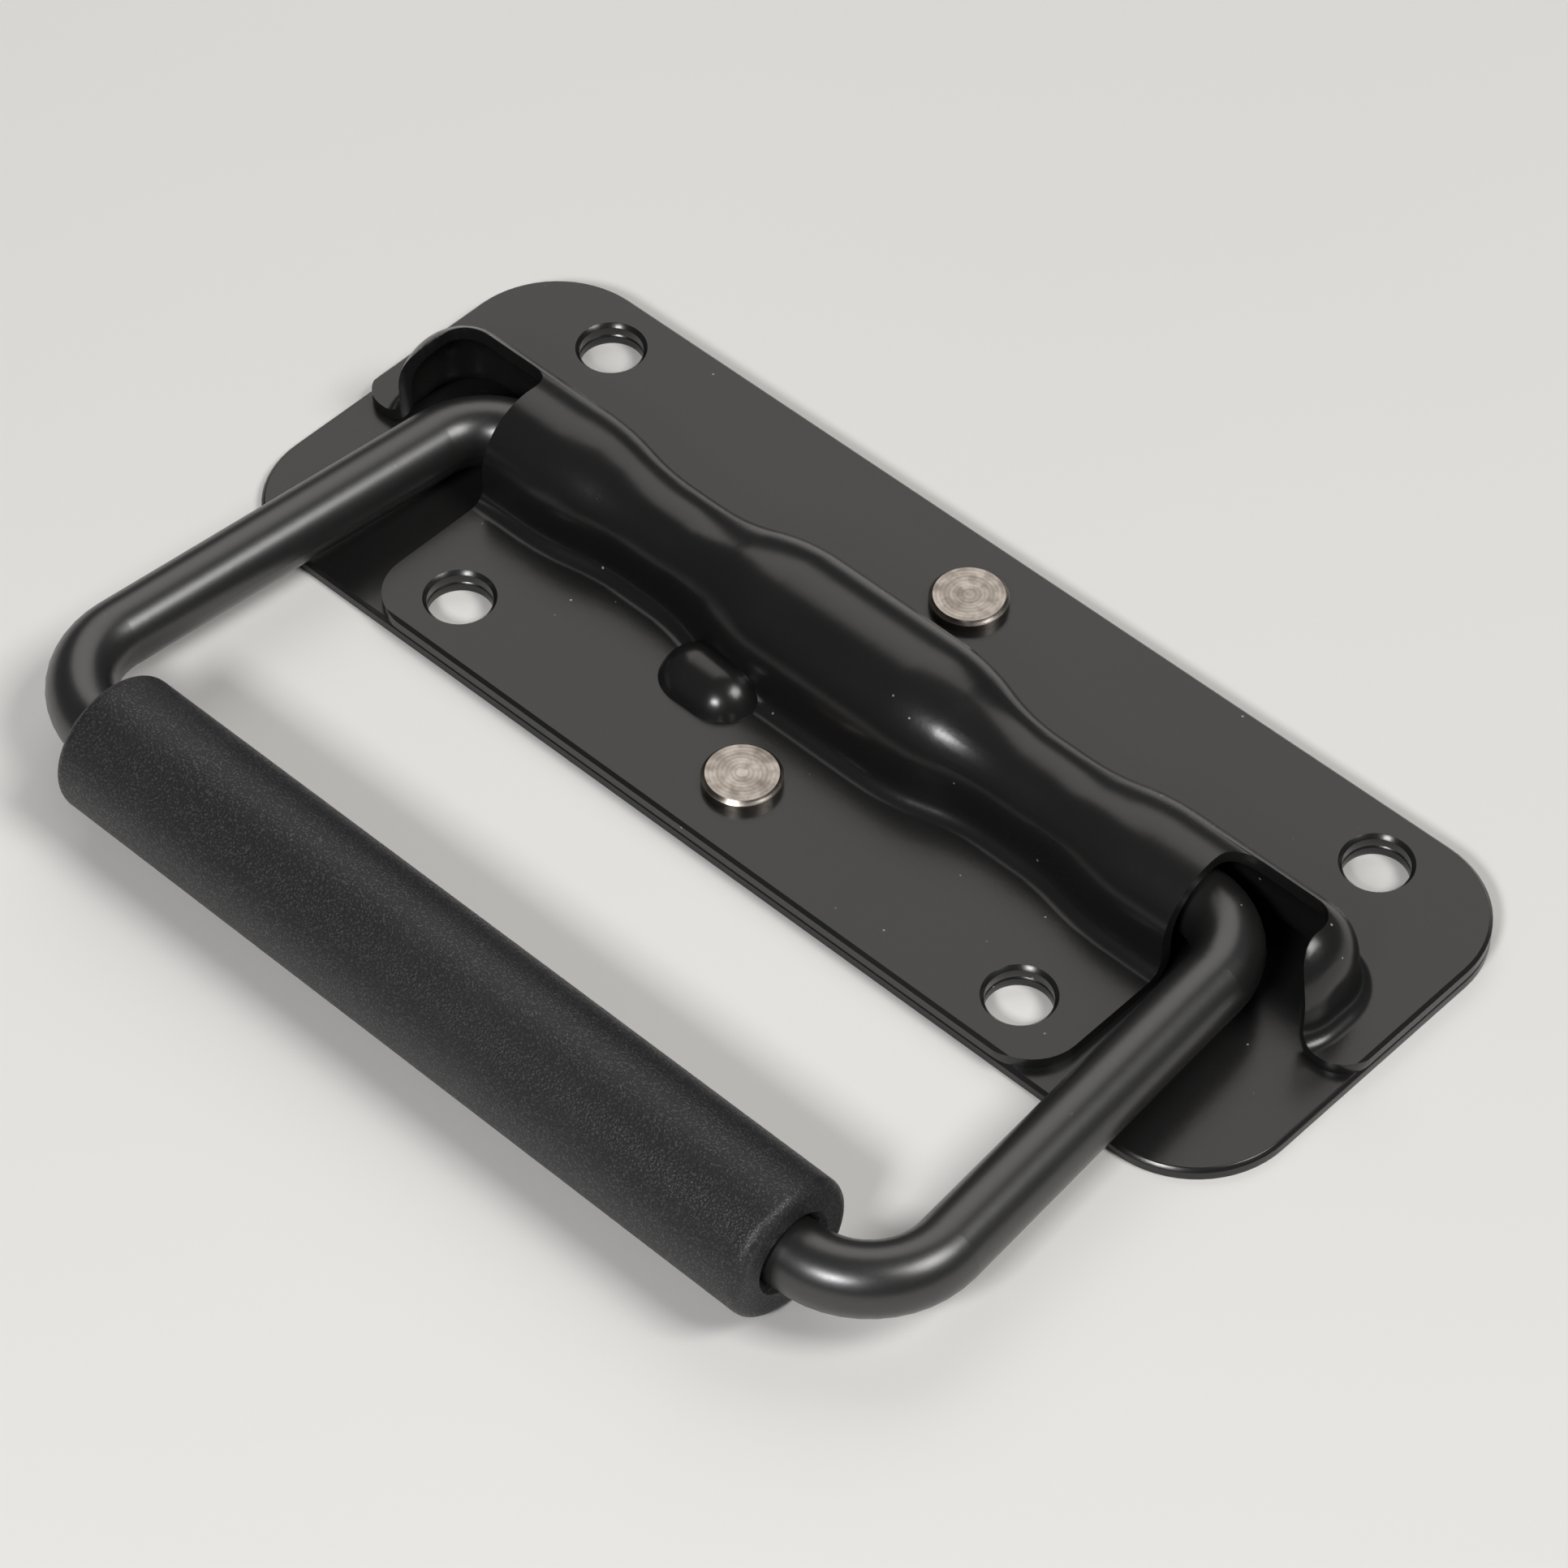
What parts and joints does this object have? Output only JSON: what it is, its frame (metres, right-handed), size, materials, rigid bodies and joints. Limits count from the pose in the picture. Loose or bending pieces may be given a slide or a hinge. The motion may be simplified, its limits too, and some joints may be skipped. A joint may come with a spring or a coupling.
{
  "type": "folding case handle",
  "caption": "Surface-mounted spring-loaded folding handle: riveted pressed steel plates carry a bent rod bail with a grained sleeve grip.",
  "frame": {"origin": "middle of the base plate's back face, which lies on the surface that the handle is fixed to", "axes": "+X along the plate and the hinge line, +Y away from the folded bail, +Z out of the mounting surface"},
  "size_m": [0.13, 0.0876, 0.0146],
  "materials": {
    "black_coated_sheet": "smooth semi-gloss black coating",
    "bare_steel": "turned, slightly warm grey",
    "spring_steel": "drawn wire",
    "black_coated_rod": "satin black coating",
    "grip_plastic": "matte, fine sandpaper grain"
  },
  "bodies": {
    "plate": {"base_plate": "black_coated_sheet", "cover_plate": "black_coated_sheet", "front_rivet": "bare_steel", "rear_rivet": "bare_steel", "return_spring": "spring_steel"},
    "bail": {"bail_rod": "black_coated_rod"},
    "grip": {"grip_sleeve": "grip_plastic"}
  },
  "joints": [
    {"name": "bail_fold", "type": "hinge", "parent": "plate", "child": "bail", "pos_m": [0, 0, 0.0063], "axis": [-1, 0, 0], "range_deg": [0, 90], "stiffness_Nm_per_rad": 0.15, "springref_deg": -34.38, "deforming": ["return_spring"]},
    {"name": "grip_turn", "type": "hinge", "parent": "bail", "child": "grip", "pos_m": [0, -0.05629, 0.00735], "axis": [1, 0, 0], "continuous": true}
  ]
}
